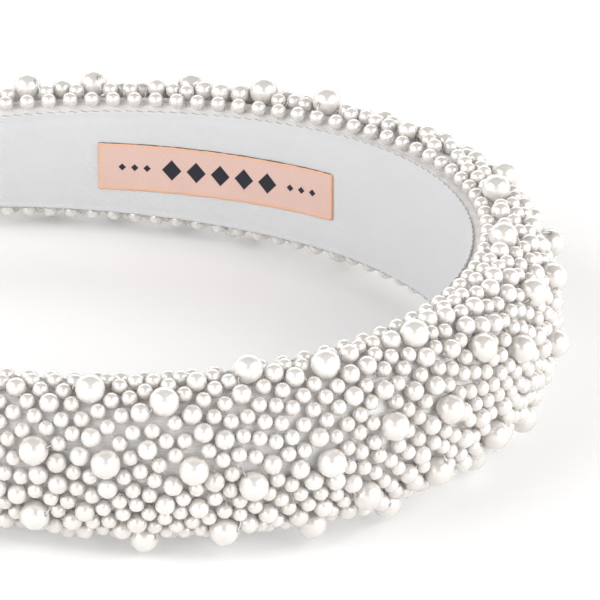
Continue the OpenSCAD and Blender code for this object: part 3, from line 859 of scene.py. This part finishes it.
def pearl_zone(zone, seed, balls, axis):
    """The pearls of one zone as one piece, the large ones with more facets."""
    large = balls[:, 3] >= LARGE_FROM
    made = []
    for tree, facets, chosen in ((small_balls, SMALL_FACETS, ~large),
                                 (large_balls, LARGE_FACETS, large)):
        if chosen.any():
            made.append(grown(zone, tree, balls[chosen, :3],
                              {"radius": balls[chosen, 3], "hole_axis": axis[chosen]},
                              {"Seed": seed, "Material": PEARL, "Facets": facets}))
    if len(made) > 1:
        with bpy.context.temp_override(active_object=made[0], object=made[0],
                                       selected_objects=made, selected_editable_objects=made):
            bpy.ops.object.join()
    made[0].name = zone
    return made[0]


contacts, thread_ends = [], []
for seed, (zone, nodes) in enumerate(ZONES.items(), 1):
    balls = np.concatenate([balls_of(node) for node in nodes])
    up, axis = bead_frames(balls, zone == "edge_pearl_rows")
    contacts.append(np.concatenate([balls[:, :3] - up * balls[:, 3:], balls[:, 3:]], axis=1))
    for side in (-1, 1):
        thread_ends.append(np.concatenate([balls, axis * side, up], axis=1))
    pearls = pearl_zone(zone, seed, balls, axis)
    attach(pearls, "root")
    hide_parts(*nodes)

# Each bead is pulled into the cloth by its thread, so the cover dips under it
contacts = np.concatenate(contacts)
contact_near = tree_over(contacts[:, :3])
dip = np.zeros(len(cover_co))
for i, p in enumerate(cover_co):
    for _, k, d in contact_near.find_n(p, 2):
        r = contacts[k, 3]
        dip[i] += DIMPLE * math.exp(-(d / (DIMPLE_SHARE * r)) ** 2) + DISH * math.exp(-(d / r) ** 2)
cover.data.vertices.foreach_set("co", (cover_co - cover_no * dip[:, None]).ravel())
cover.data.update()

ends = np.concatenate(thread_ends)
ends = ends[chance.random(len(ends)) < THREADED_SHARE]
bead_threads = grown("bead_threads", threads, ends[:, :3],
                     {"radius": ends[:, 3], "hole_axis": ends[:, 4:7], "up": ends[:, 7:10]},
                     {"Thickness": BEAD_THREAD_R, "Material": CLEAR_THREAD})

# The stitches take the dark seam thread, which doubles as the painted shadow line along the lining's
# edges.
seam_stitches = edge_stitches("seam_stitches", seam_spots(), SEAM_THREAD_AND_SHADE)

# ---- riding and replacing ----------------------------------------------------------------------
for piece, nodes, slot_name in (
        (cover, ["cover_fabric", "foam_pad"], "cover"), (lining, ["lining_strip"], "lining"),
        (label, ["woven_label"], "label"), (wraps[0], ["tip_wrap_left"], "tip_satin"),
        (wraps[1], ["tip_wrap_right"], "tip_satin"), (bead_threads, [], "cover"),
        (seam_stitches, [], "lining")):
    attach(piece, "root")
    if nodes:
        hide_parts(*nodes)


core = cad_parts["core_band"]
core.data.materials.clear()
core.data.materials.append(CORE_PLASTIC)

# ---- camera, floor and light ---------------------------------------------------------------------
CAMERA_AZIMUTH, CAMERA_ELEVATION = math.radians(17.757), math.radians(24.516)
CAMERA_ROLL = math.radians(-0.494)
CAMERA_DISTANCE, LENS_MM, SENSOR_MM = 1.650, 500.22, 36.0
AIM_RIGHT, AIM_UP = 0.0184773, 0.0001264    # tangents of its turn away from the arc's centre
origin = Vector(row_points([0.0, 0.0, 0.0]))


def camera_axes():
    """Right, up and back of the camera, before it is turned to what it looks at."""
    back = np.array([math.sin(CAMERA_AZIMUTH) * math.cos(CAMERA_ELEVATION),
                     -math.cos(CAMERA_AZIMUTH) * math.cos(CAMERA_ELEVATION),
                     math.sin(CAMERA_ELEVATION)])
    back, up = Vector(turned(back)), Vector(turned([0, 0, 1.0]))
    right = up.cross(back).normalized()
    up = back.cross(right)
    return (right * math.cos(CAMERA_ROLL) + up * math.sin(CAMERA_ROLL),
            up * math.cos(CAMERA_ROLL) - right * math.sin(CAMERA_ROLL), back)


right, up, back = camera_axes()
camera = placed(bpy.data.cameras.new("camera"), "camera")
bpy.context.scene.camera = camera
camera.data.sensor_width, camera.data.lens = SENSOR_MM, LENS_MM
camera.data.clip_start, camera.data.clip_end = 0.05, 20.0
ahead = (right * AIM_RIGHT + up * AIM_UP - back).normalized()
side = ahead.cross(up).normalized()
camera.location = origin + back * CAMERA_DISTANCE
camera.rotation_euler = Matrix((side, side.cross(ahead), -ahead)).transposed().to_euler()

FLOOR_HALF = 3.0
floor_mesh = bpy.data.meshes.new("floor")
floor_mesh.from_pydata([(x * FLOOR_HALF, y * FLOOR_HALF, 0)
                        for x, y in ((-1, -1), (1, -1), (1, 1), (-1, 1))], [], [(0, 1, 2, 3)])
floor = placed(floor_mesh, "floor")
floor_material, floor_tree, floor_shader = new_material("floor", Roughness=0.9)
floor_noise = use_group(floor_tree, MOTTLE, Colour=(0.93, 0.93, 0.93, 1),
                        Shade=(0.92, 0.92, 0.92, 1), Size=3.0, Strength=0.5,
                        Place=add(floor_tree, "ShaderNodeTexCoord").outputs["Object"])
floor_tree.links.new(floor_noise.outputs[0], floor_shader.inputs["Base Color"])
floor_mesh.materials.append(floor_material)


def softbox(name, azimuth, elevation, distance, size, power):
    """Area light that looks at the band, placed by its direction from the band, in degrees."""
    a, e = math.radians(azimuth), math.radians(elevation)
    data = bpy.data.lights.new(name, "AREA")
    data.shape, data.size, data.size_y = "RECTANGLE", *size
    data.energy = power
    made = placed(data, name)
    away = Vector((math.sin(a) * math.cos(e), -math.cos(a) * math.cos(e), math.sin(e)))
    made.location = origin + away * distance
    made.rotation_euler = away.to_track_quat("Z", "Y").to_euler()


def studio_world(front):
    """A room that is white round the table and dark overhead, a little more so at the front."""
    world = bpy.data.worlds.new("studio")
    world.use_nodes = True
    tree = world.node_tree
    direction = add(tree, "ShaderNodeTexCoord").outputs["Generated"]
    height = add(tree, "ShaderNodeSeparateXYZ", Vector=direction).outputs[2]
    facing = add(tree, "ShaderNodeVectorMath", {"operation": "DOT_PRODUCT"},
                 _0=direction, _1=(front.x, front.y, 0)).outputs["Value"]
    facing = math_node(tree, "MAXIMUM", facing, 0.0)
    ramp = add(tree, "ShaderNodeValToRGB", Fac=math_node(tree, "MULTIPLY_ADD", facing, 0.12, height))
    white, dark = ramp.color_ramp.elements
    white.position, white.color = 0.25, (1, 1, 1, 1)
    dark.position, dark.color = 0.7, (0.09, 0.082, 0.075, 1)
    background = tree.nodes["Background"]
    tree.links.new(ramp.outputs[0], background.inputs["Color"])
    background.inputs["Strength"].default_value = 1.54
    return world


for side_name, side_azimuth in (("left", -41), ("right", 77)):
    softbox("softbox_" + side_name, side_azimuth, 31, 0.75, (0.80, 0.62), 4.8)
softbox("backlight", 200, 38, 1.3, (1.6, 0.5), 5.0)
bpy.context.scene.world = studio_world(back)
bpy.context.scene.view_settings.view_transform = "Standard"
